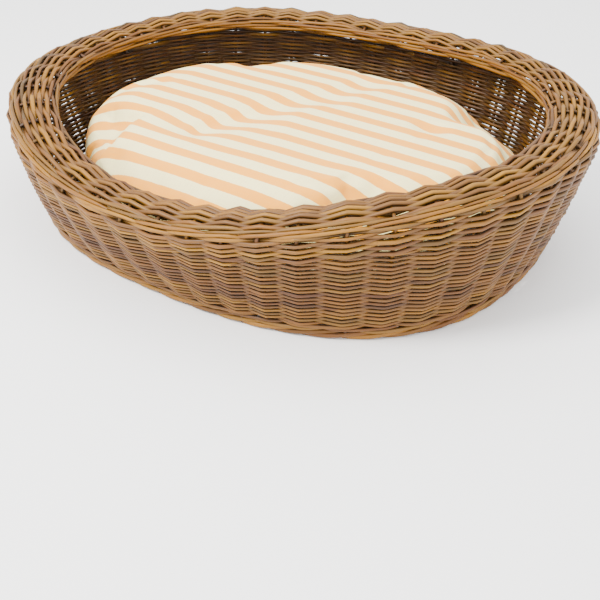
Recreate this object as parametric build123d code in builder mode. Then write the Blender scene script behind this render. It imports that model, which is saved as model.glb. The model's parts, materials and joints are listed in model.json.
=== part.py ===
# Oval willow pet bed: a flared basket whose wall rolls in over a wide rim, with a loose zipped cushion.
# Frame: +X along the long axis, +Y to the high back, -Y to the low entrance, +Z up,
# origin on the floor under the middle of the basket. All sizes in millimetres.
import os
from math import atan2, cos, degrees, hypot, pi, radians, sin

from build123d import *

os.makedirs("parts", exist_ok=True)

# ---------------------------------------------------------------- driving dimensions
MOUTH_A, MOUTH_B, MOUTH_N = 398.7, 330.0, 2.15   # inner edge of the rim: half axes, superellipse power
RIM_W = 76.3                  # width of the rolled rim, inner edge to outer edge
RISE_IN, RISE_OUT = 15.2, 21.5   # crown of the rim above its inner and outer edges
RIM_MEAN = 214.4              # mean height of the rim's crown
RIM_BACK, RIM_ENDS, RIM_DIP, RIM_TILT, RIM_SHOULDER = 27.5, 14.1, 5.9, 8.0, 4.8
FOOT_A, FOOT_B, FOOT_N, FOOT_Y = 408.3, 349.3, 2.5, 9.3   # foot ring outline and its shift to the back
FOOT_TOP = 13.0               # top of the foot border
LIP = 13.0                    # the rim's inner edge turns down by this much
RIM_T, OUTER_T, WALE_T = 8.0, 7.0, 9.0                    # woven thicknesses
BAND_GAP = 0.6                # clear line between two neighbouring bands of weave
STAKES, STAKE_R = 48, 2.9     # upright rods that carry the whole weave
BASE_INSET, BASE_Z0, BASE_Z1 = 26.0, 11.0, 18.0           # woven floor: inset from the foot ring, bottom, top
LONG_R, SHORT_R = 3.2, 3.4    # long and cross base sticks
PAD_A, PAD_B = 386.0, 317.0   # half axes of the cushion's outline
PAD_Z0 = 18.6                 # underside of the cushion
COVER_T = 1.6                 # cover cloth
ZIP_LEN, ZIP_W = 300.0, 26.0  # zip on the underside of the cover
ZIP_Y = 150.0                 # zip line, towards the back


def rim_z(t):
    """Height of the rim's crown at angle t."""
    return (RIM_MEAN + RIM_BACK * sin(t) + RIM_ENDS * cos(2 * t) - RIM_DIP * sin(3 * t)
            + RIM_TILT * cos(t) - RIM_SHOULDER * cos(4 * t))


def spow(v, e):
    return (abs(v) ** e) * (1 if v >= 0 else -1)


def oval(a, b, n, t, y0=0.0):
    return a * spow(cos(t), 2 / n), y0 + b * spow(sin(t), 2 / n)


def mouth(t):
    """Point of the mouth oval and its outward normal, at angle t."""
    x, y = oval(MOUTH_A, MOUTH_B, MOUTH_N, t)
    gx = spow(x / MOUTH_A, MOUTH_N - 1) / MOUTH_A
    gy = spow(y / MOUTH_B, MOUTH_N - 1) / MOUTH_B
    g = hypot(gx, gy)
    return x, y, gx / g, gy / g


def foot_off(t):
    """Distance from the mouth oval to the foot oval, along the mouth's normal."""
    x, y, nx, ny = mouth(t)
    lo, hi = -60.0, 90.0
    for _ in range(50):
        m = (lo + hi) / 2
        px, py = x + nx * m, y + ny * m - FOOT_Y
        if abs(px / FOOT_A) ** FOOT_N + abs(py / FOOT_B) ** FOOT_N < 1:
            lo = m
        else:
            hi = m
    return (lo + hi) / 2


def section_at(t):
    """Upright plane across the basket wall at angle t: local x outward, local y up."""
    x, y, nx, ny = mouth(t)
    return Plane(origin=(x, y, 0), x_dir=(nx, ny, 0), z_dir=(ny, -nx, 0))


def profile(t, zone, q):
    """Mid-line of the wall's section: zone A turned-down lip, B rolled rim, C wall; q from 0 to 1."""
    z = rim_z(t)
    if zone == "A":
        x0, z0, x1, z1 = 1.0, z - RISE_IN - LIP, 0.0, z - RISE_IN
        p = (x0 + (x1 - x0) * q, z0 + (z1 - z0) * q)
        d = (x1 - x0, z1 - z0)
    elif zone == "B":
        a = pi * q
        r = RISE_IN if q < 0.5 else RISE_OUT
        p = (RIM_W / 2 * (1 - cos(a)), z - r * (1 - sin(a)))
        d = (RIM_W / 2 * sin(a), r * cos(a))
        if q in (0.0, 1.0):
            d = (0.0, 1.0 if q == 0 else -1.0)
    else:
        x0, z0, x1, z1 = RIM_W, z - RISE_OUT, foot_off(t), FOOT_TOP
        p = (x0 + (x1 - x0) * q, z0 + (z1 - z0) * q)
        d = (x1 - x0, z1 - z0)
    L = hypot(*d)
    return p, (-d[1] / L, d[0] / L)       # point, and the side that shows


def band_outline(t, samples, thick):
    """Closed strip of weave of one thickness along the section's mid-line."""
    side_a, side_b = [], []
    for zone, q in samples:
        (x, z), (nx, nz) = profile(t, zone, q)
        side_a.append((x + nx * thick / 2, z + nz * thick / 2))
        side_b.append((x - nx * thick / 2, z - nz * thick / 2))
    return side_a, side_b


STATIONS = 12                 # section planes in each half of the ring


def weave_band(samples, thick, name):
    """A woven ring: section strips lofted round both halves of the oval."""
    with BuildPart() as ring:
        for half in (0, 1):
            for k in range(STATIONS + 1):
                t = pi * half + pi * k / STATIONS
                a, b = band_outline(t, samples, thick)
                with BuildSketch(section_at(t)):
                    with BuildLine():
                        if len(a) == 2:
                            Polyline(a[0], a[1], b[1], b[0], close=True)
                        else:
                            Spline(*a)
                            Line(a[-1], b[-1])
                            Spline(*reversed(b))
                            Line(b[0], a[0])
                    make_face()
            loft()
    ring.part.label = name
    export_step(ring.part, f"parts/{name}.step")
    return ring


LEN_C = 180.0                 # mean length of the wall along its section
inner_border = weave_band([("A", 0.0), ("A", 1.0), ("B", 0.12), ("B", 0.24)], WALE_T, "inner_border")
rim_weave = weave_band([("B", 0.25), ("B", 0.38), ("B", 0.5), ("B", 0.62), ("B", 0.73)],
                       RIM_T, "rim_weave")
shoulder_wale = weave_band([("B", 0.74), ("B", 0.87)], WALE_T, "shoulder_wale")
upper_skirt_weave = weave_band([("B", 0.88), ("B", 1.0), ("C", 0.10), ("C", 0.19)], OUTER_T, "upper_skirt_weave")
skirt_weave = weave_band([("C", 0.19 + BAND_GAP / LEN_C), ("C", 0.93)], OUTER_T, "skirt_weave")
foot_wale = weave_band([("C", 0.93 + BAND_GAP / LEN_C), ("C", 0.98)], WALE_T, "foot_wale")

# ---------------------------------------------------------------- foot border: the rolled-off rod ends that stand on the floor
with BuildPart() as foot_border:
    for half in (0, 1):
        for k in range(STATIONS + 1):
            t = pi * half + pi * k / STATIONS
            f = foot_off(t)
            with BuildSketch(section_at(t)):
                with BuildLine():
                    Polyline((f - 6.5, 0), (f + 6.5, 0), (f + 8.0, 3.0), (f + 8.0, 8.5),
                             (f + 5.0, FOOT_TOP - 0.6), (f - 5.0, FOOT_TOP - 0.6), (f - 8.0, 8.5),
                             (f - 8.0, 3.0), close=True)
                make_face()
        loft()
foot_border.part.label = "foot_border"
export_step(foot_border.part, "parts/foot_border.step")

# ---------------------------------------------------------------- stakes: each rod is set beside a base stick, turns up the wall and rolls in over the rim
def stake_angles():
    n = 1440
    pts = []
    for i in range(n + 1):
        x, y, nx, ny = mouth(2 * pi * i / n)
        pts.append((x + nx * RIM_W / 2, y + ny * RIM_W / 2))
    s = [0.0]
    for i in range(n):
        s.append(s[-1] + hypot(pts[i + 1][0] - pts[i][0], pts[i + 1][1] - pts[i][1]))
    out, j = [], 0
    for k in range(STAKES):
        target = s[-1] * (k + 0.5) / STAKES
        while s[j + 1] < target:
            j += 1
        out.append(2 * pi * (j + (target - s[j]) / (s[j + 1] - s[j])) / n)
    return out


with BuildPart() as stakes:
    for t in stake_angles():
        z, f = rim_z(t), foot_off(t)
        pl = section_at(t)
        with BuildLine(pl) as route:
            FilletPolyline((f - 78, BASE_Z0 + 3.5), (f - 0.5, BASE_Z0 + 3.5), (RIM_W, z - 17.0),
                           (60.0, z - 1.5), (13.0, z - 1.5), (0.5, z - 14.0),
                           (0.8, z - RISE_IN - LIP + 2), radius=7)
        with BuildSketch(Plane(route.line @ 0, z_dir=route.line % 0)):
            Circle(STAKE_R)
        sweep(path=route.line)
stakes.part.label = "stakes"
export_step(stakes.part, "parts/stakes.step")

# ---------------------------------------------------------------- base
BA, BB = FOOT_A - BASE_INSET, FOOT_B - BASE_INSET


def oval_points(a, b, n, count=72, y0=0.0):
    return [oval(a, b, n, 2 * pi * k / count, y0) for k in range(count)]


with BuildPart() as base_weave:
    with BuildSketch(Plane.XY.offset(BASE_Z0)):
        with BuildLine():
            Spline(*oval_points(BA, BB, FOOT_N, 24, FOOT_Y), periodic=True)
        make_face()
    extrude(amount=BASE_Z1 - BASE_Z0)
base_weave.part.label = "base_weave"
export_step(base_weave.part, "parts/base_weave.step")

STICK_Z = (BASE_Z0 + BASE_Z1) / 2
with BuildPart() as base_long_sticks:
    for k in range(6):
        y = (k - 2.5) * 34
        half = BA * (1 - abs(y / BB) ** FOOT_N) ** (1 / FOOT_N) - 6
        with BuildSketch(Plane.YZ.offset(-half)):
            with Locations((y + FOOT_Y, STICK_Z)):
                Circle(LONG_R)
        extrude(amount=2 * half)
base_long_sticks.part.label = "base_long_sticks"
export_step(base_long_sticks.part, "parts/base_long_sticks.step")

with BuildPart() as base_short_sticks:
    for k in range(11):
        x = (k - 5) * 52
        half = BB * (1 - abs(x / BA) ** FOOT_N) ** (1 / FOOT_N) - 6
        with BuildSketch(Plane.XZ.offset(-half - FOOT_Y)):
            with Locations((x, STICK_Z)):
                Circle(SHORT_R)
        extrude(amount=2 * half)
base_short_sticks.part.label = "base_short_sticks"
export_step(base_short_sticks.part, "parts/base_short_sticks.step")

# waling that binds the floor's edge to the foot of the wall
with BuildPart() as base_edge_waling:
    for half in (0, 1):
        for k in range(STATIONS + 1):
            t = pi * half + pi * k / STATIONS
            f = foot_off(t)
            with BuildSketch(section_at(t)):
                with BuildLine():
                    Polyline((f - 25, BASE_Z0 + 0.5), (f - 9, BASE_Z0), (f - 5.2, FOOT_TOP + 1.5),
                             (f - 3.6, 22.0), (f - 9, 22.0), (f - 14, BASE_Z1), (f - 25, BASE_Z1 - 0.5),
                             close=True)
                make_face()
        loft()
base_edge_waling.part.label = "base_edge_waling"
export_step(base_edge_waling.part, "parts/base_edge_waling.step")

# ---------------------------------------------------------------- cushion: crowned pillow, filled, in a two-panel cover with a zip underneath
SEAM_Z = PAD_Z0 + 52.0
CROWN = 150.0
RECESS_W, RECESS_D = ZIP_W + 4, 11.0


UPPER = [(52.0, 1.0), (80.0, 0.99), (104.0, 0.97), (122.0, 0.94), (136.0, 0.88), (145.0, 0.78), (CROWN, 0.60)]
LOWER = [(0.0, 0.84), (12.0, 0.93), (28.0, 0.98), (52.0, 1.0)]
T = COVER_T


def stacked(levels, inset):
    """Half of the pillow, lofted through level oval sections; inset is how far inside the cloth's outer face it lies."""
    with BuildPart() as half:
        for h, s in levels:
            z = h - inset * (h - 52.0) / (CROWN - 52.0) if h > 52.0 else h + inset * (52.0 - h) / 52.0
            with BuildSketch(Plane.XY.offset(PAD_Z0 + z)):
                Ellipse(PAD_A * s - inset, PAD_B * s - inset)
        loft(ruled=True)
    return half.part


def zip_slot(grow, low, high):
    with BuildPart() as slot:
        with BuildSketch(Plane.XY.offset(low)):
            with Locations((0, ZIP_Y)):
                SlotOverall(ZIP_LEN + 40 + 2 * grow, RECESS_W + 2 * grow)
        extrude(amount=high - low)
    return slot.part


with BuildPart() as cushion_pad:
    add(stacked(LOWER, T))
    add(zip_slot(T, PAD_Z0, PAD_Z0 + RECESS_D + T), mode=Mode.SUBTRACT)
    add(stacked(UPPER, T))
cushion_pad.part.label = "cushion_pad"
export_step(cushion_pad.part, "parts/cushion_pad.step")

with BuildPart() as cushion_cover_top:
    add(stacked(UPPER, 0.0))
    add(stacked(UPPER, T), mode=Mode.SUBTRACT)
cushion_cover_top.part.label = "cushion_cover_top"
export_step(cushion_cover_top.part, "parts/cushion_cover_top.step")

with BuildPart() as cushion_cover_bottom:
    add(stacked(LOWER, 0.0))
    add(stacked(LOWER, T), mode=Mode.SUBTRACT)
    add(zip_slot(T, PAD_Z0, PAD_Z0 + RECESS_D + T))
    add(zip_slot(0.0, PAD_Z0 - 1, PAD_Z0 + RECESS_D), mode=Mode.SUBTRACT)
cushion_cover_bottom.part.label = "cushion_cover_bottom"
export_step(cushion_cover_bottom.part, "parts/cushion_cover_bottom.step")

# zip: two tapes sewn in the slot's roof, two rows of teeth, end stops, slider and pull
ROOF = PAD_Z0 + RECESS_D
TAPE_T = 0.9
TOOTH = (1.6, 2.0, 2.2)
TOOTH_PITCH = 3.5
with BuildPart() as zip_tape_front:
    with Locations((0, ZIP_Y - ZIP_W / 4 - 0.5, ROOF - TAPE_T / 2)):
        Box(ZIP_LEN + 24, ZIP_W / 2 - 1.6, TAPE_T)
zip_tape_front.part.label = "zip_tape_front"
export_step(zip_tape_front.part, "parts/zip_tape_front.step")

with BuildPart() as zip_tape_back:
    with Locations((0, ZIP_Y + ZIP_W / 4 + 0.5, ROOF - TAPE_T / 2)):
        Box(ZIP_LEN + 24, ZIP_W / 2 - 1.6, TAPE_T)
zip_tape_back.part.label = "zip_tape_back"
export_step(zip_tape_back.part, "parts/zip_tape_back.step")

teeth_n = int(ZIP_LEN / TOOTH_PITCH)
with BuildPart() as zip_teeth:
    for side in (-1, 1):
        with Locations((side * TOOTH_PITCH / 4, ZIP_Y + side * 1.25, ROOF - TAPE_T - TOOTH[2] / 2)):
            with GridLocations(TOOTH_PITCH, 1, teeth_n, 1):
                Box(*TOOTH)
zip_teeth.part.label = "zip_teeth"
export_step(zip_teeth.part, "parts/zip_teeth.step")

with BuildPart() as zip_stops:
    for x in (-ZIP_LEN / 2 - 5, ZIP_LEN / 2 + 5):
        with Locations((x, ZIP_Y, ROOF - TAPE_T - 1.2)):
            Box(3.2, 6.0, 2.4)
zip_stops.part.label = "zip_stops"
export_step(zip_stops.part, "parts/zip_stops.step")

SL, SW = 13.0, 9.0                       # slider length and width
SX = -ZIP_LEN / 2 + 14                   # closed end: where the slider rests
S_TOP = ROOF - TAPE_T - 0.4
PLATE_Z = ROOF - TAPE_T - TOOTH[2] - 0.5
with BuildPart() as zip_slider:
    with Locations((SX, ZIP_Y, PLATE_Z - 0.75)):
        Box(SL, SW, 1.5)
    for side in (-1, 1):
        with Locations((SX, ZIP_Y + side * (SW / 2 - 0.55), (S_TOP + PLATE_Z) / 2)):
            Box(SL, 1.1, S_TOP - PLATE_Z)
    fillet(zip_slider.edges().filter_by(Axis.Z).group_by(Axis.X)[0], radius=0.5)
    # the two ears that hold the pull's cross pin
    for side in (-1, 1):
        with Locations((SX + SL / 2 - 1.6, ZIP_Y + side * 2.6, PLATE_Z - 1.5 - 1.1)):
            Box(3.0, 1.0, 2.2)
    with Locations(Plane.XZ.offset(-(ZIP_Y + 2.8))):
        with Locations((SX + SL / 2 - 1.6, PLATE_Z - 1.5 - 1.2)):
            Cylinder(0.45, 5.6, align=(Align.CENTER, Align.CENTER, Align.MIN))
zip_slider.part.label = "zip_slider"
export_step(zip_slider.part, "parts/zip_slider.step")

PIN_X, PIN_Z = SX + SL / 2 - 1.6, PLATE_Z - 1.5 - 1.2
with BuildPart() as zip_pull:
    with BuildSketch(Plane.XY.offset(PIN_Z - 0.8)):
        with Locations((PIN_X + 10.5, ZIP_Y)):
            SlotOverall(25.0, 4.0)
        with Locations((PIN_X + 17.5, ZIP_Y)):
            Circle(1.1, mode=Mode.SUBTRACT)
    extrude(amount=1.6)
    with Locations(Plane.XZ.offset(-(ZIP_Y + 4))):
        with Locations((PIN_X, PIN_Z)):
            Cylinder(0.50, 8, align=(Align.CENTER, Align.CENTER, Align.MIN), mode=Mode.SUBTRACT)
zip_pull.part.label = "zip_pull"
export_step(zip_pull.part, "parts/zip_pull.step")
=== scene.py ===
import json
import math

import bmesh
import bpy
import numpy as np
from mathutils import Matrix, Vector

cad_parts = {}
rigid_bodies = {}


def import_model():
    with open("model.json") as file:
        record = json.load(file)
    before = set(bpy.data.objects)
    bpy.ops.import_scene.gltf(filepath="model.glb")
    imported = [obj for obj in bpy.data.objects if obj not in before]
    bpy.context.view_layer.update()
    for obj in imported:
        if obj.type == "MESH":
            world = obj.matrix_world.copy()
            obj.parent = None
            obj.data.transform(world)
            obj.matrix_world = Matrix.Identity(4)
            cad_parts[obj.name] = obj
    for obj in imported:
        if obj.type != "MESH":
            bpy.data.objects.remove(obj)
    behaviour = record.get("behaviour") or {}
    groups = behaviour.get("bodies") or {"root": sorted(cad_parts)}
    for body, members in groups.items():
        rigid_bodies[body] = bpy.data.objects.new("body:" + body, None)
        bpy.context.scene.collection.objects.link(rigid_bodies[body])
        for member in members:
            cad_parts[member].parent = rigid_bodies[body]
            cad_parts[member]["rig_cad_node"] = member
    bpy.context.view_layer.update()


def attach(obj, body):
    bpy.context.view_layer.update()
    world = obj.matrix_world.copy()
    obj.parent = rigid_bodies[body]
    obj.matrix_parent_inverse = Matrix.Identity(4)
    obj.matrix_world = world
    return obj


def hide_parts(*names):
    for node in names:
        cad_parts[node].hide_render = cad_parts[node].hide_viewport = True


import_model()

RNG = np.random.default_rng(4107)

# ------------------------------------------------------------------ the basket's surface, as in the CAD (metres)
MA, MB, MN = 0.3987, 0.330, 2.15
RW, RI, RO = 0.0763, 0.0152, 0.0215
FA, FB, FN, FY = 0.4083, 0.3493, 2.5, 0.0093
FT, LIP = 0.013, 0.013
NST = 48
INSET = 0.0046          # the rods stand proud of this middle surface


def spow(v, e):
    return np.sign(v) * np.abs(v) ** e


def rim_z(t):
    return (0.2144 + 0.0275 * np.sin(t) + 0.0141 * np.cos(2 * t) - 0.0059 * np.sin(3 * t)
            + 0.008 * np.cos(t) - 0.0048 * np.cos(4 * t))


def mouth(t):
    x = MA * spow(np.cos(t), 2 / MN)
    y = MB * spow(np.sin(t), 2 / MN)
    gx = spow(x / MA, MN - 1) / MA
    gy = spow(y / MB, MN - 1) / MB
    g = np.hypot(gx, gy)
    return x, y, gx / g, gy / g


def foot_off(t):
    x, y, nx, ny = mouth(t)
    lo, hi = np.full_like(x, -0.06), np.full_like(x, 0.09)
    for _ in range(36):
        m = (lo + hi) / 2
        ins = np.abs((x + nx * m) / FA) ** FN + np.abs((y + ny * m - FY) / FB) ** FN < 1
        lo, hi = np.where(ins, m, lo), np.where(ins, hi, m)
    return (lo + hi) / 2


_tt = np.linspace(0, 2 * np.pi, 4001)
_x, _y, _nx, _ny = mouth(_tt)
_S = np.r_[0, np.cumsum(np.hypot(np.diff(_x + _nx * RW / 2), np.diff(_y + _ny * RW / 2)))]
_F = foot_off(_tt)

# listed spacing of the stakes: they aren't evenly spaced along the low front
_wk = np.array([0, 6, 12, 18, 24, 29, 31, 33, 34, 35, 36, 37, 38, 39, 40, 41, 42, 43, 44, 45, 46, 47, 48.0])
_wd = np.array([0.05, 0, -0.05, 0, 0.0, 0.12, 0.22, 0.36, 0.50, 0.50, 0.50, 0.44, 0.29, 0.15, 0.0, 0.08, 0.1, 0.1,
                0.1, 0.1, 0.15, 0.1, 0.05])
_jit = np.random.default_rng(77).normal(0, 0.035, NST + 1)
_jit[33:47] *= 0.25
_jit[-1] = _jit[0]


def warp(k):
    """Position round the ring of stake number k, for any real k."""
    kk = np.mod(k, NST)
    return kk + np.interp(kk, _wk, _wd) + np.interp(kk, np.arange(NST + 1), _jit)


def t_at(k):
    s = np.mod((warp(k) + 0.5) / NST, 1.0) * _S[-1]
    return np.interp(s, _S, _tt)


def surf(k, v):
    """Point, outward normal of the woven surface. v: 0-1 turned-down lip, 1-2 rolled rim, 2-3 wall."""
    k, v = np.broadcast_arrays(np.asarray(k, float), np.asarray(v, float))
    t = t_at(k)
    x, y, nx, ny = mouth(t)
    z = rim_z(t)
    f = np.interp(t, _tt, _F)
    off, h, no, nz = (np.zeros(v.shape) for _ in range(4))
    A, B, C = v < 1, (v >= 1) & (v < 2), v >= 2
    off[A] = (1 - v[A]) * 0.001
    h[A] = z[A] - RI - LIP * (1 - v[A])
    no[A], nz[A] = -1.0, 0.0
    a = np.pi * (v[B] - 1)
    r = np.where(v[B] < 1.5, RI, RO)
    off[B] = RW / 2 * (1 - np.cos(a))
    h[B] = z[B] - r * (1 - np.sin(a))
    no[B], nz[B] = -r * np.cos(a), RW / 2 * np.sin(a)
    q = v[C] - 2
    dx, dz = f[C] - RW, FT - z[C] + RO
    bulge = 0.004 * np.sin(np.pi * np.clip(q, 0, 1))
    off[C] = RW + dx * q + bulge
    h[C] = z[C] - RO + dz * q
    no[C], nz[C] = -dz, dx * np.clip(q / 0.18, 0, 1)
    L = np.hypot(no, nz)
    no, nz = no / L, nz / L
    off = off - no * INSET
    h = h - nz * INSET
    P = np.stack([x + nx * off, y + ny * off, h], -1)
    N = np.stack([nx * no, ny * no, nz], -1)
    return P, N


# ------------------------------------------------------------------ rods
class Rods:
    """Collects round rods and makes one mesh of them, with rod tone and painted light and shade stored on the points.
    """

    def __init__(self, name):
        self.name = name
        self.v, self.f, self.uv, self.col, self.n = [], [], [], [], 0

    def add(self, P, N, rad, tone=0.5, depth=None, sides=8, flat=1.0, wet=0.5):
        P = np.asarray(P, float)
        M = len(P)
        T = np.gradient(P, axis=0)
        T /= np.linalg.norm(T, axis=1)[:, None] + 1e-12
        N = N - (N * T).sum(1)[:, None] * T
        N /= np.linalg.norm(N, axis=1)[:, None] + 1e-12
        Bn = np.cross(T, N)
        rad = np.broadcast_to(rad, (M,))
        a = np.arange(sides) * 2 * np.pi / sides
        ring = (np.cos(a)[None, :, None] * N[:, None] * flat + np.sin(a)[None, :, None] * Bn[:, None])
        V = P[:, None] + ring * rad[:, None, None]
        along = np.r_[0, np.cumsum(np.linalg.norm(np.diff(P, axis=0), axis=1))] + RNG.random() * 40
        base = self.n
        i = np.arange(M - 1)[:, None] * sides
        j = np.arange(sides)[None]
        j2 = (j + 1) % sides
        quads = np.stack([base + i + j, base + i + j2, base + i + sides + j2, base + i + sides + j], -1).reshape(-1, 4)
        u0 = np.broadcast_to(along[:-1, None], (M - 1, sides))
        u1 = np.broadcast_to(along[1:, None], (M - 1, sides))
        v0 = np.broadcast_to(np.arange(sides)[None] / sides, (M - 1, sides))
        v1 = v0 + 1.0 / sides
        uv = np.stack([np.stack([u0, v0], -1), np.stack([u0, v1], -1), np.stack([u1, v1], -1), np.stack([u1, v0], -1)],
                      2).reshape(-1, 4, 2)
        # rounded ends: one more small ring and a point, as fans
        c0, c1 = P[0] - T[0] * rad[0] * 0.35, P[-1] + T[-1] * rad[-1] * 0.35
        V = np.concatenate([V.reshape(-1, 3), c0[None], c1[None]])
        e0, e1 = base + M * sides, base + M * sides + 1
        k = np.arange(sides)
        k2 = (k + 1) % sides
        t0 = np.stack([np.full(sides, e0), base + k2, base + k, np.full(sides, -1)], -1)
        b2 = base + (M - 1) * sides
        t1 = np.stack([np.full(sides, e1), b2 + k, b2 + k2, np.full(sides, -1)], -1)
        uvt = np.zeros((2 * sides, 4, 2))
        uvt[:sides, :, 0] = along[0]
        uvt[sides:, :, 0] = along[-1]
        uvt[:, :, 1] = 0.5
        self.v.append(V)
        self.f.append(np.concatenate([quads, t0, t1]))
        self.uv.append(np.concatenate([uv, uvt]))
        d = np.full(M, 0.5) if depth is None else depth
        col = np.zeros((M, sides, 4))
        col[..., 0] = tone
        # painted shade and light: the side of the rod that faces into the weave is coloured darker, more so for rods
        # lying deep in the weave, and the outward face is coloured lighter
        ca = np.cos(a)[None]
        col[..., 1] = np.clip(0.33 + 0.52 * np.maximum(ca, 0) ** 0.8 + (d[:, None] - 0.5) * 0.95 * ca, 0, 1)
        col[..., 2] = wet
        col[..., 3] = 1
        # the rounded ends get one fixed, fairly dark level of painted shade
        ends = np.array([[tone, 0.3, wet, 1.0]] * 2)
        self.col.append(np.concatenate([col.reshape(-1, 4), ends]))
        self.n += len(V)

    def build(self, mat):
        V = np.concatenate(self.v)
        F = np.concatenate(self.f)
        UV = np.concatenate(self.uv)
        C = np.concatenate(self.col)
        quad = F[:, 3] >= 0
        order = np.r_[np.nonzero(quad)[0], np.nonzero(~quad)[0]]
        F, UV = F[order], UV[order]
        nq = int(quad.sum())
        loops = np.concatenate([F[:nq].reshape(-1), F[nq:, :3].reshape(-1)])
        uvs = np.concatenate([UV[:nq].reshape(-1, 2), UV[nq:, :3].reshape(-1, 2)])
        starts = np.r_[np.arange(nq) * 4, nq * 4 + np.arange(len(F) - nq) * 3]
        totals = np.r_[np.full(nq, 4), np.full(len(F) - nq, 3)]
        me = bpy.data.meshes.new(self.name)
        me.vertices.add(len(V))
        me.vertices.foreach_set("co", V.astype(np.float32).reshape(-1))
        me.loops.add(len(loops))
        me.loops.foreach_set("vertex_index", loops.astype(np.int32))
        me.polygons.add(len(F))
        me.polygons.foreach_set("loop_start", starts.astype(np.int32))
        me.polygons.foreach_set("loop_total", totals.astype(np.int32))
        me.update(calc_edges=True)
        me.validate()
        uvl = me.uv_layers.new(name="UVMap")
        uvl.data.foreach_set("uv", uvs.astype(np.float32).reshape(-1))
        ca = me.color_attributes.new(name="rod", type="FLOAT_COLOR", domain="POINT")
        ca.data.foreach_set("color", C.astype(np.float32).reshape(-1))
        me.shade_smooth()
        me.materials.append(mat)
        ob = bpy.data.objects.new(self.name, me)
        bpy.context.scene.collection.objects.link(ob)
        return ob


def wob(k, amp, rng, waves=4):
    """Slow, smooth, repeatable waver along a rod."""
    out = np.zeros_like(k)
    for _ in range(waves):
        out += np.sin(k * rng.uniform(0.25, 1.9) + rng.uniform(0, 6.28)) * rng.uniform(0.3, 1.0)
    return out * amp / waves


def tri(x):
    """+1 at even x, -1 at odd x, nearly straight in between, with a small round at each turn."""
    c = np.cos(np.pi * x)
    s = np.arcsin(np.clip(c * 0.998, -1, 1)) / math.asin(0.998)
    return 0.93 * s + 0.07 * c


PER = 10    # points between two stakes


def weave_row(rods, vfun, rad, amp, phase, rng, cyc=None, len_range=(13, 25), tone=(0.5, 0.2), sides=8, shade=0.0,
              wobv=0.0022, wobn=0.0004):
    """One row of weaving round the basket, made of several rods that follow each other."""
    start = int(rng.integers(0, NST))
    k = 0
    parts = []
    while k < NST:
        n = int(rng.integers(*len_range))
        if NST - k - n < 7:
            n = NST - k
        parts.append((k, n))
        k += n
    for k0, n in parts:
        s0 = start + k0
        lap = 1.0 if n < NST else 0.0
        kk = np.arange(-4 - int(2 * lap), n * PER + 5 + int(2 * lap)) / PER + s0
        if cyc is None:
            o = tri(kk - phase)
        else:
            o = cyc(kk)
        v = vfun(kk) + wob(kk, wobv, rng)
        P, N = surf(kk, v)
        # a fresh rod lies a little beside the end of the last one
        ends = np.exp(-((kk - kk[0]) / 0.8) ** 2) - np.exp(-((kk - kk[-1]) / 0.8) ** 2)
        a_loc = amp * (1 + wob(kk, 0.25, rng, 3))
        P = P + N * ((o * a_loc + wob(kk, wobn, rng))[:, None])
        P = P - N * (np.abs(ends) * rad * 0.8)[:, None]
        taper = np.linspace(1.13, 0.86, len(kk)) if rng.random() < 0.5 else np.linspace(0.86, 1.13, len(kk))
        rr = rad * taper * rng.uniform(0.86, 1.12) * (1 + wob(kk * 3, 0.03, rng))
        rr = rr * pitch_scale(kk, v)
        tn = float(np.clip(rng.normal(tone[0], tone[1]), 0.02, 0.98))
        # painted shade: rows are coloured darker where they pass behind the stakes and lighter in front; shade lowers
        # it further
        painted_lit_vals = np.clip(0.5 + 0.5 * o - shade, 0, 1)
        rods.add(P, N, rr, tone=tn, depth=painted_lit_vals, sides=sides, wet=float(rng.random()))


def pitch_scale(k, v):
    """Rods on the taller part of the wall are a little thicker."""
    t = t_at(k)
    h = (rim_z(t) - 0.0345)
    return np.where(v >= 2.0, np.clip(0.93 + (h - 0.128) * 2.6, 0.9, 1.16), 1.0)


# ------------------------------------------------------------------ materials
def nt(mat):
    mat.use_nodes = True
    t = mat.node_tree
    t.nodes.clear()
    return t


class G:
    """Small helper to wire shader nodes."""

    def __init__(self, mat):
        self.t = nt(mat)

    def n(self, kind, **kw):
        node = self.t.nodes.new(kind)
        for key, val in kw.items():
            if key.startswith("i_"):
                node.inputs[int(key[2:]) if key[2:].isdigit() else key[2:].replace("_", " ")].default_value = val
            else:
                setattr(node, key, val)
        return node

    def l(self, a, b):
        self.t.links.new(a, b)

    def math(self, op, a, b=None, c=None, clamp=False):
        node = self.n("ShaderNodeMath", operation=op, use_clamp=clamp)
        for i, s in enumerate((a, b, c)):
            if s is None:
                continue
            if isinstance(s, (int, float)):
                node.inputs[i].default_value = s
            else:
                self.l(s, node.inputs[i])
        return node.outputs[0]

    def mix(self, fac, a, b, mode="MIX"):
        node = self.n("ShaderNodeMix", data_type="RGBA", blend_type=mode)
        for s, i in ((fac, 0), (a, 6), (b, 7)):
            if isinstance(s, (int, float)):
                node.inputs[i].default_value = s
            elif isinstance(s, tuple):
                node.inputs[i].default_value = s
            else:
                self.l(s, node.inputs[i])
        return node.outputs[2]

    def ramp(self, fac, stops):
        node = self.n("ShaderNodeValToRGB")
        el = node.color_ramp.elements
        while len(el) > 1:
            el.remove(el[0])
        el[0].position, el[0].color = stops[0][0], stops[0][1]
        for p, c in stops[1:]:
            e = el.new(p)
            e.color = c
        self.l(fac, node.inputs[0])
        return node.outputs[0]

    def noise(self, vec, scale, detail=3.0, rough=0.55, w=None):
        node = self.n("ShaderNodeTexNoise", noise_dimensions="3D")
        node.inputs["Scale"].default_value = scale
        node.inputs["Detail"].default_value = detail
        node.inputs["Roughness"].default_value = rough
        self.l(vec, node.inputs["Vector"])
        return node.outputs["Fac"]


def lin(r, g, b):
    """sRGB 0-255 to linear."""
    def c(v):
        v = v / 255
        return v / 12.92 if v <= 0.04045 else ((v + 0.055) / 1.055) ** 2.4
    return (c(r), c(g), c(b), 1.0)


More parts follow.
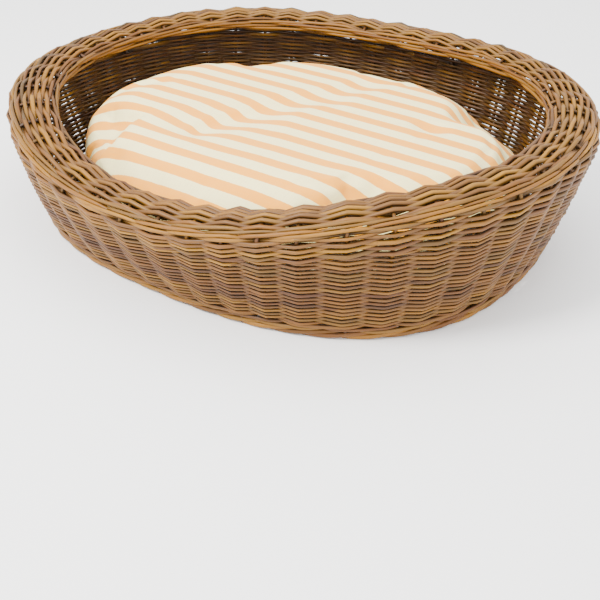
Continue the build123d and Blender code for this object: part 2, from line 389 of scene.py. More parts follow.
def willow(name, bright=1.0, red=0.0, grey=0.0, rough=0.5):
    """Steamed willow: rods of honey to brown, each its own tone, with long grain, bark flecks and painted shade in the
    hollows.
    """
    mat = bpy.data.materials.new(name)
    g = G(mat)
    att = g.n("ShaderNodeAttribute", attribute_name="rod")
    sep = g.n("ShaderNodeSeparateColor")
    g.l(att.outputs["Color"], sep.inputs[0])
    tone, depth, wet = sep.outputs[0], sep.outputs[1], sep.outputs[2]
    uv = g.n("ShaderNodeUVMap", uv_map="UVMap")
    sx = g.n("ShaderNodeSeparateXYZ")
    g.l(uv.outputs[0], sx.inputs[0])
    along, around = sx.outputs[0], sx.outputs[1]

    def coord(ka, kr, shift):
        ang = g.math("MULTIPLY", around, 6.2831853)
        cx = g.math("MULTIPLY", g.math("COSINE", ang), kr)
        cy = g.math("MULTIPLY", g.math("SINE", ang), kr)
        ca = g.math("ADD", g.math("MULTIPLY", along, ka), g.math("MULTIPLY", tone, shift))
        comb = g.n("ShaderNodeCombineXYZ")
        g.l(ca, comb.inputs[0])
        g.l(cx, comb.inputs[1])
        g.l(cy, comb.inputs[2])
        return comb.outputs[0]

    fine = g.noise(coord(60, 3.2, 90), 1.6, 4, 0.6)       # long grain
    blot = g.noise(coord(9, 0.5, 40), 1.0, 3, 0.55)        # slow change of tone along the rod
    fleck = g.noise(coord(170, 2.2, 70), 1.0, 2, 0.5)      # small dark flecks of bark
    # overall tone of this spot
    tsum = g.math("ADD", g.math("MULTIPLY", tone, 0.62), g.math("MULTIPLY", blot, 0.42))
    tsum = g.math("ADD", tsum, g.math("MULTIPLY", g.math("SUBTRACT", fine, 0.5), 0.26))
    tsum = g.math("SUBTRACT", tsum, 0.03, clamp=True)
    col = g.ramp(tsum, [(0.0, lin(38, 19, 3)), (0.25, lin(80, 46, 9)), (0.45, lin(118, 75, 17)),
                        (0.62, lin(146, 97, 26)), (0.80, lin(172, 122, 42)), (1.0, lin(196, 154, 76))])
    # a few rods are greyer or redder than the rest
    greyf = g.math("MULTIPLY", g.math("GREATER_THAN", wet, 0.72), 0.30)
    col = g.mix(greyf, col, lin(128, 104, 58))
    redf = g.math("MULTIPLY", g.math("LESS_THAN", wet, 0.25), 0.30)
    col = g.mix(redf, col, lin(118, 62, 10))
    fl = g.math("MULTIPLY", g.math("GREATER_THAN", fleck, 0.66), 0.55)
    col = g.mix(fl, col, lin(74, 44, 22))
    # painted shade: where rods dive behind the stakes, the colour is mixed towards near-black
    painted_shade = g.math("SUBTRACT", 1.0, depth, clamp=True)
    painted_shade = g.math("MULTIPLY", g.math("POWER", painted_shade, 1.0), 0.95)
    col = g.mix(painted_shade, col, lin(24, 10, 2))
    bc = g.n("ShaderNodeHueSaturation")
    bc.inputs["Hue"].default_value = 0.5 - red
    bc.inputs["Saturation"].default_value = 1.16 - grey
    bc.inputs["Value"].default_value = bright
    g.l(col, bc.inputs["Color"])
    bsdf = g.n("ShaderNodeBsdfPrincipled")
    g.l(bc.outputs[0], bsdf.inputs["Base Color"])
    rg = g.math("ADD", rough - 0.12, g.math("MULTIPLY", fine, 0.26))
    g.l(rg, bsdf.inputs["Roughness"])
    bsdf.inputs["Specular IOR Level"].default_value = 0.42
    bh = g.math("ADD", g.math("MULTIPLY", fine, 0.7), g.math("MULTIPLY", fleck, 0.4))
    bump = g.n("ShaderNodeBump")
    bump.inputs["Strength"].default_value = 0.35
    bump.inputs["Distance"].default_value = 0.0006
    g.l(bh, bump.inputs["Height"])
    g.l(bump.outputs[0], bsdf.inputs["Normal"])
    out = g.n("ShaderNodeOutputMaterial")
    g.l(bsdf.outputs[0], out.inputs[0])
    return mat


M_OUT = willow("willow_outer", 0.70)
M_RIM = willow("willow_rim", 0.70)
M_STAKE = willow("willow_stake", 0.60)
M_FOOT = willow("willow_foot", 0.76)
M_BASE = willow("willow_base", 0.70)

PIECES = []


def place(ob, body, nodes):
    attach(ob, body)
    if nodes:
        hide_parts(*nodes)
    PIECES.append(ob)
    return ob


# ------------------------------------------------------------------ stakes
rg = np.random.default_rng(11)
st = Rods("stake_rods")
R_ST = 0.0030
for i in range(NST):
    vs = np.concatenate([np.linspace(3.0, 2.0, 34), np.linspace(1.98, 1.02, 26), np.linspace(1.0, 0.15, 5)])
    P, N = surf(np.full_like(vs, float(i)), vs)
    # the foot of the stake turns in under the floor's edge
    t = float(t_at(float(i)))
    _, _, nx, ny = mouth(np.array([t]))
    inn = np.array([-nx[0], -ny[0], 0])
    low = P[0].copy()
    leg = np.array([low + inn * d + np.array([0, 0, z]) for d, z in
                    [(0.078, 0.0008), (0.06, 0.0006), (0.04, 0.0004), (0.02, 0.0002), (0.008, 0.0003), (0.002, 0.0018)]])
    P2 = np.concatenate([leg, P[1:]])
    N2 = np.concatenate([np.repeat(np.array([[0, 0, -1.0]]), 4, 0), (N[0] * 0.5 + np.array([0, 0, -0.5]))[None].repeat(2, 0),
                         N[1:]])
    rr = R_ST * rg.uniform(0.92, 1.12) * np.linspace(1.08, 0.9, len(P2))
    # the stakes get one fixed level of painted light and shade along their whole length
    st.add(P2, N2, rr, tone=float(np.clip(rg.normal(0.36, 0.14), 0, 1)), depth=np.full(len(P2), 0.62), sides=8,
           wet=float(rg.random()))
place(st.build(M_STAKE), "basket", ["stakes"])

# ------------------------------------------------------------------ wall
def wall_len(k):
    t = t_at(k)
    f = np.interp(t, _tt, _F)
    return np.hypot(f - RW, rim_z(t) - RO - FT)


def rows_between(va, vb, n, kref=40.0):
    """n row positions spread evenly along the section between va and vb."""
    vs = np.linspace(va, vb, 400)
    P, _ = surf(np.full_like(vs, kref), vs)
    s = np.r_[0, np.cumsum(np.linalg.norm(np.diff(P, axis=0), axis=1))]
    return np.interp(s[-1] * (np.arange(n) + 0.5) / n, s, vs)


def ranges_where(ok, start):
    """Runs of stakes, going round from start, over which a row exists."""
    ks = np.arange(start, start + NST + 1)
    runs, cur = [], None
    for k in ks[:-1]:
        if ok(k):
            cur = cur or [k, k]
            cur[1] = k + 1
        elif cur:
            runs.append(cur)
            cur = None
    if cur:
        runs.append(cur)
    return runs


rg = np.random.default_rng(12)
R_W, PITCH = 0.00212, 0.00366
VLOW, VTOP = 2.936, 2.190
kk_ = np.arange(NST)
L_ = wall_len(kk_.astype(float)) * (VLOW - VTOP)
NLOW = int(L_.max() / PITCH)
group, made = None, 0
for r in range(NLOW):
    if r % 8 == 0:
        if group is not None:
            place(group.build(M_OUT), "basket", ["skirt_weave"])
        made += 1
        group = Rods("wall_rods_%d" % made)
    d = (r + 0.5) * PITCH
    full = d < L_.min()
    start = int(rg.integers(0, NST)) if full else 36
    tone = (0.50, 0.21)
    for k0, k1 in ranges_where(lambda k: d < L_[k % NST] - 0.001, start):
        k = k0
        while k < k1:
            n = int(rg.integers(11, 24))
            if k1 - k - n < 6:
                n = k1 - k
            kk = np.arange(-5, n * PER + 6) / PER + k
            o = tri(kk - r % 2)
            v = VLOW - d / wall_len(kk) + wob(kk, 0.0048, rg, 5)
            P, N = surf(kk, v)
            ends = np.clip(1 - (kk - kk[0]) / 0.9, 0, 1) + np.clip(1 - (kk[-1] - kk) / 0.9, 0, 1)
            amp = (R_W + R_ST * 1.0) * (1 + wob(kk, 0.22, rg, 3))
            P = P + N * ((o * amp + wob(kk, 0.0004, rg)) - ends * 0.0022)[:, None]
            lo, hi = rg.uniform(0.74, 0.95), rg.uniform(1.02, 1.20)
            tap = np.linspace(lo, hi, len(kk)) if (r + len(P)) % 2 else np.linspace(hi, lo, len(kk))
            back_ = np.clip(0.75 + 0.6 * np.sin(t_at(kk)), 0, 1)
            rr = R_W * tap * (1 + 0.27 * back_) * (1 + wob(kk * 3, 0.04, rg))
            # painted shade: wall rods are coloured darker where they pass behind the stakes and lighter where they pass
            # in front
            group.add(P, N, rr, tone=float(np.clip(rg.normal(*tone), 0.02, 0.98)), depth=0.5 + 0.5 * o,
                      wet=float(rg.random()))
            k += n
place(group.build(M_OUT), "basket", ["skirt_weave"])

up = Rods("upper_wall_rods")
for r, vv in enumerate(rows_between(1.886, 2.205, 9)):
    weave_row(up, lambda k, vv=vv: np.full_like(k, vv), 0.0028, 0.0055, r % 2, rg, tone=(0.56, 0.20), wobv=0.005)
place(up.build(M_OUT), "basket", ["upper_skirt_weave"])


def wale_cycle(j, n=3, front=1.0, back=-1.0):
    """In front of two stakes, behind the third."""
    def f(k):
        x = np.mod(k - j, n)
        d = np.minimum(x, n - x)          # distance from the stake that it passes behind
        return back + (front - back) * (0.5 - 0.5 * np.cos(np.pi * np.clip(d / 0.95, 0, 1)))
    return f


sh = Rods("shoulder_rods")
for j, vv in enumerate((1.746, 1.788, 1.830, 1.870)):
    weave_row(sh, lambda k, vv=vv, j=j: vv + 0.014 * np.sin(2 * np.pi * (k - j) / 3), 0.0028, 0.0047, 0, rg,
              cyc=wale_cycle(j), tone=(0.62, 0.15), wobv=0.006)
place(sh.build(M_RIM), "basket", ["shoulder_wale"])

rim = Rods("rim_rods")
for r, vv in enumerate(rows_between(1.205, 1.738, 10)):
    weave_row(rim, lambda k, vv=vv: np.full_like(k, vv), 0.0032, 0.0058, r % 2, rg, tone=(0.55, 0.20), sides=9,
              wobv=0.008, wobn=0.0006)
place(rim.build(M_RIM), "basket", ["rim_weave"])

ib = Rods("inner_border_rods")
for j, vv in enumerate((0.22, 0.58, 0.93, 1.06, 1.155)):
    weave_row(ib, lambda k, vv=vv, j=j: vv + 0.02 * np.sin(2 * np.pi * (k - j) / 3), 0.0030, 0.0034, 0, rg,
              cyc=wale_cycle(j % 3), tone=(0.55, 0.15), sides=8, wobv=0.008)
place(ib.build(M_RIM), "basket", ["inner_border"])

fw = Rods("foot_wale_rods")
for j, vv in enumerate((2.945, 2.968, 2.99)):
    weave_row(fw, lambda k, vv=vv, j=j: vv + 0.006 * np.sin(2 * np.pi * (k - j) / 3), 0.0025, 0.0044, 0, rg,
              cyc=wale_cycle(j), tone=(0.42, 0.15))
place(fw.build(M_FOOT), "basket", ["foot_wale"])

# ------------------------------------------------------------------ foot border: long rods that wind round each other on the floor
fb = Rods("foot_border_rods")
rg = np.random.default_rng(13)


def foot_point(k, dout, z):
    t = t_at(k)
    x, y, nx, ny = mouth(t)
    f = np.interp(t, _tt, _F)
    o = f + dout
    return (np.stack([x + nx * o, y + ny * o, np.broadcast_to(z, x.shape)], -1), np.stack([nx, ny, np.zeros_like(nx)], -1))


for j in range(3):
    start = int(rg.integers(0, NST))
    k = 0
    while k < NST:
        n = int(rg.integers(12, 20))
        if NST - k - n < 6:
            n = NST - k
        kk = np.linspace(start + k - 0.3, start + k + n + 0.3, (n + 1) * PER)
        ph = 2 * np.pi * (kk / 3.0 + j / 3.0)
        P, N = foot_point(kk, -0.0060 + 0.0030 * np.cos(ph), 0.0070 + 0.0030 * np.sin(ph))
        # painted shade: each winding foot rod is coloured darker where it turns to the inner side of the twist
        fb.add(P, N, 0.0038 * rg.uniform(0.93, 1.05), tone=float(np.clip(rg.normal(0.60, 0.12), 0, 1)),
               depth=np.clip(0.75 + 0.25 * np.cos(ph), 0, 1), sides=10, wet=float(rg.random()))
        k += n
# cut ends of the stakes that are pushed down into the border
for i in range(NST):
    P, N = foot_point(np.full(4, i + 0.12), -0.0075, 0.0)
    P = P.copy()
    P[:, 2] = np.linspace(0.0165, 0.0035, 4)
    P[:, :2] += N[:, :2] * np.linspace(0.004, 0.0035, 4)[:, None]
    # the cut ends are a dark tone and also carry a strong painted shade
    fb.add(P, N, 0.0027, tone=0.16, depth=np.full(4, 0.35), sides=8, wet=0.5)
place(fb.build(M_FOOT), "basket", ["foot_border"])

# ------------------------------------------------------------------ floor of the basket
rg = np.random.default_rng(14)
zc = 0.0150


def oval_at(t, ins):
    a, b = FA - ins, FB - ins
    return a * spow(np.cos(t), 2 / FN), FY + b * spow(np.sin(t), 2 / FN)


base = Rods("base_rods")
ed = Rods("base_edge_rods")
NB = 36
for r in range(NB):
    ins = 0.010 + r * 0.0077
    target = ed if r < 3 else base
    n_pts = NST * 6
    kk = np.linspace(0, NST, n_pts + 1)
    t = t_at(kk)
    x, y = oval_at(t, ins)
    rad = 0.0031 if r >= 3 else 0.0028
    o = tri(kk - r % 2)
    z = zc + 0.0030 * o
    P = np.stack([x, y, z], -1)
    N = np.repeat(np.array([[0, 0, 1.0]]), len(P), 0)
    cut = int(rg.integers(0, n_pts))
    P = np.roll(P[:-1], cut, 0)
    P = np.concatenate([P, P[:2]])
    N = N[:len(P)] if len(N) >= len(P) else np.repeat(N[:1], len(P), 0)
    # painted light and shade of the base rods: lighter at each turn over or under a stake, darker in between
    painted_lit_vals = np.clip(0.6 + 0.25 * np.abs(np.roll(o[:-1], cut)), 0, 1)
    painted_lit_vals = np.concatenate([painted_lit_vals, painted_lit_vals[:2]])
    half = len(P) // 2
    for a, b in ((0, half + 2), (half, len(P))):
        target.add(P[a:b], N[a:b], rad * rg.uniform(0.92, 1.05), tone=float(np.clip(rg.normal(0.42, 0.16), 0, 1)),
                   depth=painted_lit_vals[a:b], sides=8, wet=float(rg.random()))
place(base.build(M_BASE), "basket", ["base_weave"])
place(ed.build(M_BASE), "basket", ["base_edge_waling"])

ls, ss = Rods("base_long_rods"), Rods("base_cross_rods")
BA_, BB_ = FA - 0.026, FB - 0.026
for k in range(6):
    y = (k - 2.5) * 0.034
    half = BA_ * (1 - abs(y / BB_) ** FN) ** (1 / FN) - 0.004
    xs = np.linspace(-half, half, 60)
    P = np.stack([xs, np.full_like(xs, y + FY) + wob(xs * 20, 0.0008, rg), np.full_like(xs, zc - 0.0004)], -1)
    # the sticks under the floor weave get one fixed level of painted shade
    ls.add(P, np.repeat(np.array([[0, 0, 1.0]]), 60, 0), 0.0033 * np.linspace(1.08, 0.92, 60), tone=0.36, sides=8,
           depth=np.full(60, 0.6), wet=float(rg.random()))
for k in range(11):
    x = (k - 5) * 0.052
    half = BB_ * (1 - abs(x / BA_) ** FN) ** (1 / FN) - 0.004
    ys = np.linspace(-half, half, 60)
    P = np.stack([np.full_like(ys, x) + wob(ys * 20, 0.0008, rg), ys + FY, np.full_like(ys, zc)], -1)
    # the cross sticks get the same fixed level of painted shade
    ss.add(P, np.repeat(np.array([[0, 0, 1.0]]), 60, 0), 0.0034 * np.linspace(0.95, 1.05, 60), tone=0.32, sides=8,
           depth=np.full(60, 0.6), wet=float(rg.random()))
place(ls.build(M_BASE), "basket", ["base_long_sticks"])
place(ss.build(M_BASE), "basket", ["base_short_sticks"])

# ------------------------------------------------------------------ cushion: a filled, crowned pillow in striped cotton
PA, PB = 0.386, 0.317
Z_BOT, Z_SEAM, Z_CROWN = 0.0186, 0.0706, 0.1686
ZIP_Y, ZIP_HALF_L, ZIP_HALF_W, ROOF = 0.150, 0.172, 0.0150, 0.0296


def disc_grid(n):
    """Even grid of quads on the unit disc."""
    g_ = np.linspace(-1, 1, n)
    X, Y = np.meshgrid(g_, g_, indexing="ij")
    u = X * np.sqrt(1 - Y * Y / 2)
    v = Y * np.sqrt(1 - X * X / 2)
    return u, v


def smooth_noise(x, y, seed, scales, amps):
    r_ = np.random.default_rng(seed)
    out = np.zeros_like(x)
    for sc, am in zip(scales, amps):
        for _ in range(5):
            a_ = r_.uniform(0, np.pi)
            ph = r_.uniform(0, 2 * np.pi)
            out += am / 5 * np.sin((x * np.cos(a_) + y * np.sin(a_)) * 2 * np.pi / sc * r_.uniform(0.7, 1.4) + ph)
    return out


def make_cushion():
    n = 100
    u, v = disc_grid(n)
    rr = np.clip(np.hypot(u, v), 0, 1)
    # height of the upper side over the seam: full in the middle, falling ever faster to the seam
    up_h = (1 - rr ** 12) ** 0.5
    lo_h = np.clip((1 - rr) / 0.12, 0, 1)
    lo_h = np.sqrt(1 - (1 - lo_h) ** 2)
    a, b = PA - 0.0015, PB - 0.0015
    x, y = u * a, v * b
    # it lies lower to the left, and the filling has gathered towards the back and the right end
    tilt = 0.90 + 0.07 * u + 0.05 * v
    zt = Z_SEAM + (Z_CROWN - Z_SEAM - 0.006) * up_h * np.clip(tilt, 0.6, 1.0)
    zb = Z_SEAM - (Z_SEAM - Z_BOT - 0.001) * lo_h
    idx = np.arange(n * n).reshape(n, n)
    top = np.stack([x, y, zt], -1).reshape(-1, 3)
    bot = np.stack([x, y, zb], -1).reshape(-1, 3)
    edge = np.zeros((n, n), bool)
    edge[0] = edge[-1] = edge[:, 0] = edge[:, -1] = True
    e = edge.reshape(-1)
    bmap = np.where(e, np.arange(n * n), 0)
    inner = np.nonzero(~e)[0]
    bmap[inner] = n * n + np.arange(len(inner))
    V = np.concatenate([top, bot[inner]])
    q = np.stack([idx[:-1, :-1], idx[1:, :-1], idx[1:, 1:], idx[:-1, 1:]], -1).reshape(-1, 4)
    F = np.concatenate([q, bmap[q][:, ::-1]])
    me = bpy.data.meshes.new("cushion")
    me.from_pydata(V.tolist(), [], F.tolist())
    me.update()
    # where each point lies on the flat cloth, so that the stripes follow the folds
    rim_r = np.concatenate([rr.reshape(-1), rr.reshape(-1)[inner]])
    fx = np.concatenate([x.reshape(-1), x.reshape(-1)[inner]])
    fy = np.concatenate([y.reshape(-1), y.reshape(-1)[inner]])
    stretch = 1 + 0.10 * rim_r ** 6
    flat = np.stack([fx * stretch, fy * stretch, np.concatenate([np.ones(n * n), np.zeros(len(inner))])], -1)
    at = me.attributes.new("flat", "FLOAT_VECTOR", "POINT")
    at.data.foreach_set("vector", flat.astype(np.float32).reshape(-1))
    ob = bpy.data.objects.new("cushion", me)
    bpy.context.scene.collection.objects.link(ob)
    return ob, n


cushion, NG = make_cushion()
rest = np.empty(len(cushion.data.vertices) * 3, np.float32)
cushion.data.vertices.foreach_get("co", rest)
rest = rest.reshape(-1, 3).astype(float)
sc = bpy.context.scene
cl = cushion.modifiers.new("cloth", "CLOTH")
cs = cl.settings
cs.quality = 6
cs.mass = 0.25
cs.tension_stiffness = 18
cs.compression_stiffness = 18
cs.shear_stiffness = 6
cs.bending_stiffness = 0.4
cs.use_pressure = True
cs.uniform_pressure_force = 3.0
cs.shrink_min = -0.045
cs.effector_weights.gravity = 0
cl.collision_settings.use_collision = False
cl.point_cache.frame_start, cl.point_cache.frame_end = 1, 22
for f_ in range(1, 23):
    sc.frame_set(f_)
dg = bpy.context.evaluated_depsgraph_get()
ev = cushion.evaluated_get(dg)
simd = np.empty(len(rest) * 3, np.float32)
ev.data.vertices.foreach_get("co", simd)
simd = simd.reshape(-1, 3).astype(float)
cushion.modifiers.clear()
sc.frame_set(1)
d = simd - rest
L = np.linalg.norm(d, axis=1)
print("cushion sim moved", L.mean(), L.max())
cap = 0.022
d *= (cap * np.tanh(L / cap) / np.maximum(L, 1e-9))[:, None]
rest = rest + d
x_, y_ = rest[:, 0], rest[:, 1]
# soft dents and folds of a cushion that has been lain on
rel = np.hypot(x_ / PA, y_ / PB)
topside = rest[:, 2] > Z_SEAM
dent = smooth_noise(x_, y_, 5, (0.42, 0.20, 0.11), (0.0040, 0.0024, 0.0012))
rest[:, 2] += np.where(topside, dent * np.clip((1 - rel) / 0.25, 0, 1), 0)


def fold(x0, y0, x1, y1, w_, h_, sharp=1.0):
    """A soft raised crease along a line on the upper side."""
    dx, dy = x1 - x0, y1 - y0
    L2 = dx * dx + dy * dy
    tt = ((x_ - x0) * dx + (y_ - y0) * dy) / L2
    dist = ((x_ - x0) * dy - (y_ - y0) * dx) / math.sqrt(L2)
    dist = dist + 0.012 * np.sin(tt * 5.0)
    ridge = np.exp(-(dist / w_) ** 2) - 0.75 * np.exp(-((dist - 1.7 * w_) / (1.3 * w_)) ** 2)
    along = np.clip(tt / 0.25, 0, 1) * np.clip((1 - tt) / 0.3, 0, 1)
    along = along * along * (3 - 2 * along)
    return h_ * ridge * along


def lump(x0, y0, x1, y1, w_, h_):
    """A broad hump (or, below zero, a hollow) along a line on the upper side."""
    dx, dy = x1 - x0, y1 - y0
    tt = np.clip(((x_ - x0) * dx + (y_ - y0) * dy) / (dx * dx + dy * dy + 1e-9), 0, 1)
    dist = np.hypot(x_ - x0 - tt * dx, y_ - y0 - tt * dy)
    return h_ * np.exp(-(dist / w_) ** 2)


folds = (lump(0.02, 0.19, -0.09, -0.13, 0.040, -0.0115) + lump(0.08, -0.03, 0.15, 0.02, 0.050, 0.0085)
         + lump(0.205, 0.07, 0.20, -0.07, 0.032, -0.0105) + lump(-0.20, 0.10, -0.22, -0.08, 0.07, 0.005)
         + lump(0.27, 0.10, 0.30, -0.03, 0.035, 0.006) + lump(0.03, 0.09, 0.24, 0.085, 0.030, -0.008)
         + fold(-0.10, -0.17, -0.09, 0.02, 0.010, 0.0040) + fold(0.00, 0.00, 0.20, 0.05, 0.009, 0.0040)
         + fold(0.16, 0.02, 0.33, 0.09, 0.008, 0.0045) + fold(-0.34, -0.10, -0.27, 0.04, 0.009, 0.0045)
         + fold(0.12, -0.22, 0.28, -0.12, 0.009, 0.0035) + fold(0.07, 0.21, 0.10, 0.285, 0.006, 0.0045)
         + fold(0.28, 0.12, 0.35, 0.03, 0.007, 0.0045))
rest[:, 2] += np.where(topside, folds, 0)
# gathers that run in from the seam
ang = np.arctan2(y_ / PB, x_ / PA)
gath = (np.sin(ang * 41 + 1.3 * np.sin(ang * 5)) * 0.5 + np.sin(ang * 67 + 2.0 * np.sin(ang * 3 + 1)) * 0.3)
gw = np.exp(-((rel - 0.965) / 0.045) ** 2)
zz = np.clip(np.abs(rest[:, 2] - Z_SEAM) / 0.02, 0, 1)
push = 0.0022 * gath * gw * zz
rest[:, 0] += x_ / PA * push
rest[:, 1] += y_ / PB * push
# the seam pulls in
pin = np.exp(-((rest[:, 2] - Z_SEAM) / 0.004) ** 2) * (rel > 0.9)
rest[:, 0] *= 1 - 0.006 * pin
rest[:, 1] *= 1 - 0.006 * pin
# stays within the space that the cushion has in the basket
rel = np.hypot(rest[:, 0] / PA, rest[:, 1] / PB)
k_ = np.where(rel > 1.0, 1.0 / rel, 1.0)
rest[:, 0] *= k_
rest[:, 1] *= k_
rest[:, 2] = np.clip(rest[:, 2], Z_BOT, Z_CROWN + 0.004)
cushion.data.vertices.foreach_set("co", rest.astype(np.float32).reshape(-1))
cushion.data.update()
sub = cushion.modifiers.new("sub", "SUBSURF")
sub.levels = sub.render_levels = 1
bpy.context.view_layer.update()
dg = bpy.context.evaluated_depsgraph_get()
me2 = bpy.data.meshes.new_from_object(cushion.evaluated_get(dg), preserve_all_data_layers=True, depsgraph=dg)
cushion.modifiers.clear()
cushion.data = me2
me2.name = "cushion"
co_ = np.empty(len(me2.vertices) * 3, np.float32)
me2.vertices.foreach_get("co", co_)
co_ = co_.reshape(-1, 3)
# the slot on the underside that the zip lies in
qx = np.maximum(np.abs(co_[:, 0]) - (ZIP_HALF_L - ZIP_HALF_W), 0)
inside = ZIP_HALF_W - np.hypot(qx, co_[:, 1] - ZIP_Y)
w_ = np.clip((inside + 0.001) / 0.004, 0, 1) * (co_[:, 2] < 0.05)
co_[:, 2] = co_[:, 2] * (1 - w_) + (ROOF + 0.0002) * w_
low = co_[:, 2] < Z_BOT
co_[low, 2] = Z_BOT
me2.vertices.foreach_set("co", co_.reshape(-1))
me2.update()
me2.shade_smooth()

cloth = bpy.data.materials.new("striped_cotton")
g = G(cloth)
fa = g.n("ShaderNodeAttribute", attribute_name="flat")
fs = g.n("ShaderNodeSeparateXYZ")
g.l(fa.outputs["Vector"], fs.inputs[0])
STRIPE, SHIFT = 0.0450, 0.0005
yy = g.math("ADD", fs.outputs[1], SHIFT + 10 * STRIPE)
edge_n = g.noise(fa.outputs["Vector"], 260, 2, 0.5)
yy = g.math("ADD", yy, g.math("MULTIPLY", g.math("SUBTRACT", edge_n, 0.5), 0.0016))
ph = g.math("FRACT", g.math("DIVIDE", yy, STRIPE))
tri_ = g.math("ABSOLUTE", g.math("SUBTRACT", ph, 0.5))
band = g.math("MULTIPLY", g.math("SUBTRACT", tri_, 0.265), 60.0, clamp=False)
band = g.math("ADD", band, 0.5, clamp=True)
slub = g.n("ShaderNodeMapping")
slub.inputs["Scale"].default_value = (26, 700, 1)
g.l(fa.outputs["Vector"], slub.inputs["Vector"])
slub2 = g.n("ShaderNodeMapping")
slub2.inputs["Scale"].default_value = (700, 26, 1)
g.l(fa.outputs["Vector"], slub2.inputs["Vector"])
n1 = g.noise(slub.outputs[0], 1.0, 2, 0.5)
n2 = g.noise(slub2.outputs[0], 1.0, 2, 0.5)
yarn = g.math("ADD", g.math("MULTIPLY", n1, 0.5), g.math("MULTIPLY", n2, 0.5))
col = g.mix(band, (0.99, 0.88, 0.42, 1), (0.98, 0.385, 0.02, 1))
dark = g.math("MULTIPLY", g.math("SUBTRACT", 0.56, yarn, clamp=True), 0.8)
col = g.mix(dark, col, lin(214, 176, 122))
bsdf = g.n("ShaderNodeBsdfPrincipled")
g.l(col, bsdf.inputs["Base Color"])
bsdf.inputs["Roughness"].default_value = 0.88
bsdf.inputs["Specular IOR Level"].default_value = 0.25
bsdf.inputs["Sheen Weight"].default_value = 0.12
bsdf.inputs["Sheen Roughness"].default_value = 0.5
# plain weave
wv = g.n("ShaderNodeMapping")
wv.inputs["Scale"].default_value = (5200, 5200, 1)
g.l(fa.outputs["Vector"], wv.inputs["Vector"])
ws = g.n("ShaderNodeSeparateXYZ")
g.l(wv.outputs[0], ws.inputs[0])
weave = g.math("MULTIPLY", g.math("SINE", ws.outputs[0]), g.math("SINE", ws.outputs[1]))
hgt = g.math("ADD", g.math("MULTIPLY", weave, 0.35), g.math("MULTIPLY", yarn, 1.3))
bump = g.n("ShaderNodeBump")
bump.inputs["Strength"].default_value = 0.30
bump.inputs["Distance"].default_value = 0.0006
g.l(hgt, bump.inputs["Height"])
g.l(bump.outputs[0], bsdf.inputs["Normal"])
o_ = g.n("ShaderNodeOutputMaterial")
g.l(bsdf.outputs[0], o_.inputs[0])
me2.materials.clear()
me2.materials.append(cloth)
place(cushion, "cushion", ["cushion_cover_top", "cushion_cover_bottom", "cushion_pad"])

# ------------------------------------------------------------------ sewn seam: a thin cord of folded cloth with stitches
sm = Rods("cushion_seam")
nn = 720
co_ = np.empty(len(me2.vertices) * 3, np.float32)
me2.vertices.foreach_get("co", co_)
co_ = co_.reshape(-1, 3).astype(float)
near = np.abs(co_[:, 2] - Z_SEAM) < 0.010
ca_, cr_ = np.arctan2(co_[near, 1] / PB, co_[near, 0] / PA), np.hypot(co_[near, 0] / PA, co_[near, 1] / PB)
bins = ((ca_ + np.pi) / (2 * np.pi) * 90).astype(int) % 90
edge_r = np.array([cr_[bins == i].max() if (bins == i).any() else 0.985 for i in range(90)])
edge_r = (np.roll(edge_r, 1) + edge_r + np.roll(edge_r, -1)) / 3
aa = np.linspace(-np.pi, np.pi, nn + 1)
er = np.interp((aa + np.pi) / (2 * np.pi) * 90 - 0.5, np.arange(-1, 91), np.r_[edge_r[-1], edge_r, edge_r[0]])
er = np.minimum(er, 0.994)
P = np.stack([PA * er * np.cos(aa), PB * er * np.sin(aa), Z_SEAM + 0.0006 * np.sin(aa * 37)], -1)
N = np.stack([np.cos(aa), np.sin(aa), np.zeros(nn + 1)], -1)
sm.add(P, N, 0.0016, tone=0.6, sides=6)
seam_mat = bpy.data.materials.new("seam_cotton")
g = G(seam_mat)
bs = g.n("ShaderNodeBsdfPrincipled")
tc = g.n("ShaderNodeTexCoord")
nz = g.noise(tc.outputs["Object"], 900, 2, 0.5)
g.l(g.mix(nz, (0.95, 0.86, 0.55, 1), (0.88, 0.70, 0.38, 1)), bs.inputs["Base Color"])
bs.inputs["Roughness"].default_value = 0.9
bp = g.n("ShaderNodeBump")
bp.inputs["Strength"].default_value = 0.5
bp.inputs["Distance"].default_value = 0.0004
g.l(nz, bp.inputs["Height"])
g.l(bp.outputs[0], bs.inputs["Normal"])
o_ = g.n("ShaderNodeOutputMaterial")
g.l(bs.outputs[0], o_.inputs[0])
place(sm.build(seam_mat), "cushion", [])


def plain(name, color, rough, metal=0.0, scale=700.0, vary=0.10, bump=0.25, dist=0.0002):
    """A plain material with fine grain in its colour, gloss and surface."""
    mat = bpy.data.materials.new(name)
    g_ = G(mat)
    b_ = g_.n("ShaderNodeBsdfPrincipled")
    t_ = g_.n("ShaderNodeTexCoord")
    n_ = g_.noise(t_.outputs["Object"], scale, 3, 0.55)
    dark_ = tuple(c_ * (1 - vary) for c_ in color) + (1,)
    g_.l(g_.mix(n_, dark_, tuple(color) + (1,)), b_.inputs["Base Color"])
    b_.inputs["Metallic"].default_value = metal
    g_.l(g_.math("ADD", rough - 0.06, g_.math("MULTIPLY", n_, 0.12)), b_.inputs["Roughness"])
    p_ = g_.n("ShaderNodeBump")
    p_.inputs["Strength"].default_value = bump
    p_.inputs["Distance"].default_value = dist
    g_.l(n_, p_.inputs["Height"])
    g_.l(p_.outputs[0], b_.inputs["Normal"])
    u_ = g_.n("ShaderNodeOutputMaterial")
    g_.l(b_.outputs[0], u_.inputs[0])
    return mat


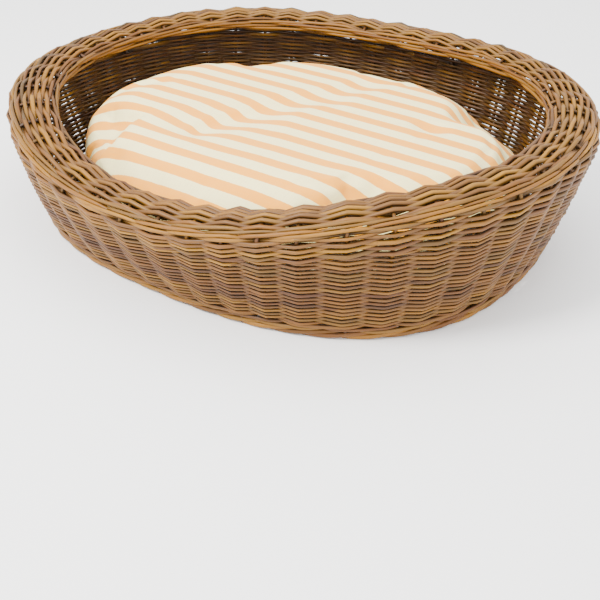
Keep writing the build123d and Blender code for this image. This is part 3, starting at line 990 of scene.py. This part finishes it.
ZIP = {"zip_tape_front": plain("zip_tape_weave", (0.86, 0.78, 0.58), 0.85, scale=1500, vary=0.25, bump=0.6),
       "zip_teeth": plain("zip_teeth_moulded", (0.80, 0.70, 0.50), 0.38),
       "zip_slider": plain("zip_plated_zinc", (0.70, 0.69, 0.67), 0.28, metal=1.0, scale=350)}
ZIP["zip_tape_back"] = ZIP["zip_tape_front"]
ZIP["zip_stops"] = ZIP["zip_teeth"]
ZIP["zip_pull"] = ZIP["zip_slider"]
for o in bpy.data.objects:
    node = o.get("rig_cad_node")
    if node in ZIP and o.type == "MESH":
        if not o.data.materials:
            o.data.materials.append(ZIP[node])
        for i in range(len(o.data.materials)):
            o.data.materials[i] = ZIP[node]

# ------------------------------------------------------------------ stage, light, camera
def area(name, loc, target, size, energy, color=(1, 1, 1)):
    d = bpy.data.lights.new(name, "AREA")
    d.shape = "RECTANGLE"
    d.size, d.size_y = size
    d.energy = energy
    d.color = color
    o = bpy.data.objects.new(name, d)
    o.location = loc
    o.rotation_euler = (Vector(target) - Vector(loc)).to_track_quat("-Z", "Y").to_euler()
    bpy.context.scene.collection.objects.link(o)
    return o


fm = bpy.data.materials.new("floor_white")
g = G(fm)
bs = g.n("ShaderNodeBsdfPrincipled")
bs.inputs["Base Color"].default_value = (0.96, 0.96, 0.96, 1)
bs.inputs["Roughness"].default_value = 0.9
bs.inputs["Specular IOR Level"].default_value = 0.1
o_ = g.n("ShaderNodeOutputMaterial")
g.l(bs.outputs[0], o_.inputs[0])
me = bpy.data.meshes.new("floor")
me.from_pydata([(-9, -9, 0), (9, -9, 0), (9, 9, 0), (-9, 9, 0)], [], [(0, 1, 2, 3)])
me.materials.append(fm)
floor = bpy.data.objects.new("floor", me)
bpy.context.scene.collection.objects.link(floor)

w = bpy.data.worlds.new("studio")
bpy.context.scene.world = w
w.use_nodes = True
w.node_tree.nodes["Background"].inputs[0].default_value = (1, 1, 1, 1)
w.node_tree.nodes["Background"].inputs[1].default_value = 2.3
area("key", (-0.7, -2.1, 2.7), (0, 0, 0.1), (1.0, 1.0), 200, (1.0, 0.985, 0.96))
area("fill", (2.4, -1.2, 1.5), (0, 0, 0.1), (1.8, 1.8), 24, (1.0, 0.99, 0.97))
area("top", (0.2, 0.6, 2.8), (0, 0, 0.1), (2.2, 2.2), 30)

AZ, EL, ROLL, DIST, FPX = math.radians(34.37), math.radians(23.0), math.radians(1.46), 1.6706, 1017.4
back = Vector((math.sin(AZ) * math.cos(EL), -math.cos(AZ) * math.cos(EL), math.sin(EL)))
right = Vector((math.cos(AZ), math.sin(AZ), 0))
upv = back.cross(right)
r2 = right * math.cos(ROLL) + upv * math.sin(ROLL)
u2 = upv * math.cos(ROLL) - right * math.sin(ROLL)
cam = bpy.data.cameras.new("camera")
co = bpy.data.objects.new("camera", cam)
pos = Vector((0, 0.0093, 0.12)) + back * DIST
co.matrix_world = Matrix(((r2.x, u2.x, back.x, pos.x), (r2.y, u2.y, back.y, pos.y), (r2.z, u2.z, back.z, pos.z),
                          (0, 0, 0, 1)))
cam.sensor_width = 36.0
cam.lens = FPX / 600 * 36
cam.shift_x = (300 - 296.79) / 600
cam.shift_y = (140.68 - 300) / 600
cam.clip_end = 50
bpy.context.scene.collection.objects.link(co)
bpy.context.scene.camera = co
